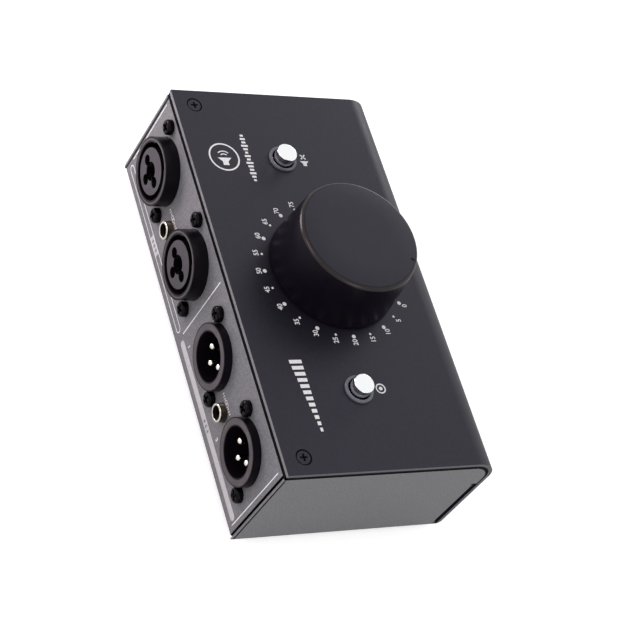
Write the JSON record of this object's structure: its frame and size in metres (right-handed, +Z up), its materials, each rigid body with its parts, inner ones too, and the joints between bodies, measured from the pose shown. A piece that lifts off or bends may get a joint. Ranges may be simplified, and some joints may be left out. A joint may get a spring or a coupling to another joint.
{
  "type": "studio monitor controller",
  "caption": "Desktop monitor controller in a folded sheet housing, with a large volume dial, push buttons and balanced sockets on the rear.",
  "frame": {"origin": "on the table under the centre of the bounding box", "axes": "+X to the user's right along the long side, +Y to the rear where the sockets are, +Z up"},
  "size_m": [0.145, 0.0838, 0.068],
  "materials": {
    "cover_paint": "black satin powder coat",
    "chassis_paint": "grey speckled powder coat",
    "plain_steel": "zinc plated",
    "black_screw": "black oxide",
    "foot_rubber": "matte",
    "knob_plastic": "soft matte black",
    "insert_brass": "turned",
    "shaft_metal": "turned",
    "nickel": "nickel plated",
    "cap_chrome": "mirror",
    "bezel_black": "satin black",
    "plunger_plastic": "moulded",
    "switch_plastic": "moulded",
    "spring_steel": "drawn wire",
    "board_green": "solder mask",
    "pot_plastic": "moulded",
    "track_brown": "carbon track",
    "resistor_blue": "lacquered",
    "header_white": "moulded",
    "ribbon_grey": "flexible",
    "socket_black": "moulded",
    "insert_grey": "moulded",
    "contact_gold": "gold plated",
    "pin_silver": "silver plated",
    "wire_copper": "tinned copper"
  },
  "bodies": {
    "unit": {"chassis": "chassis_paint", "cover": "cover_paint", "fixing_brackets": "plain_steel", "cover_screws": "black_screw", "base_screws": "black_screw", "feet": "foot_rubber", "pot_bush": "nickel", "pot_case": "pot_plastic", "pot_tracks": "track_brown", "pot_terminals": "nickel", "pot_washer": "plain_steel", "pot_nut": "nickel", "mute_bezel": "bezel_black", "mono_bezel": "bezel_black", "mute_switch_case": "switch_plastic", "mono_switch_case": "switch_plastic", "mute_spring": "spring_steel", "mono_spring": "spring_steel", "switch_terminals": "nickel", "control_board": "board_green", "board_spacers": "plain_steel", "board_screws": "plain_steel", "resistors": "resistor_blue", "upper_header": "header_white", "lower_header": "header_white", "ribbon_cable": "ribbon_grey", "connector_board": "board_green", "combo_1_housing": "socket_black", "combo_2_housing": "socket_black", "combo_1_insert": "insert_grey", "combo_2_insert": "insert_grey", "combo_1_contacts": "contact_gold", "combo_2_contacts": "contact_gold", "xlr_1_housing": "socket_black", "xlr_2_housing": "socket_black", "xlr_1_pins": "pin_silver", "xlr_2_pins": "pin_silver", "jack_in_body": "socket_black", "jack_out_body": "socket_black", "jack_in_collar": "nickel", "jack_out_collar": "nickel", "jack_in_wires": "wire_copper", "jack_out_wires": "wire_copper", "connector_screws": "black_screw"},
    "dial": {"knob": "knob_plastic", "knob_insert": "insert_brass", "pot_shaft": "shaft_metal", "pot_rotor": "track_brown"},
    "mute_button": {"mute_cap": "cap_chrome", "mute_plunger": "plunger_plastic"},
    "mono_button": {"mono_cap": "cap_chrome", "mono_plunger": "plunger_plastic"}
  },
  "joints": [
    {"name": "dial_turn", "type": "hinge", "parent": "unit", "child": "dial", "pos_m": [0.0005, -0.0023, 0.048], "axis": [0, 0, -1], "range_deg": [0, 300]},
    {"name": "mute_press", "type": "slide", "parent": "unit", "child": "mute_button", "axis": [0, 0, -1], "range_m": [0, 0.0025], "stiffness_N_per_m": 400, "springref_m": -0.003, "deforming": ["mute_spring"]},
    {"name": "mono_press", "type": "slide", "parent": "unit", "child": "mono_button", "axis": [0, 0, -1], "range_m": [0, 0.0025], "stiffness_N_per_m": 400, "springref_m": -0.003, "deforming": ["mono_spring"]}
  ]
}
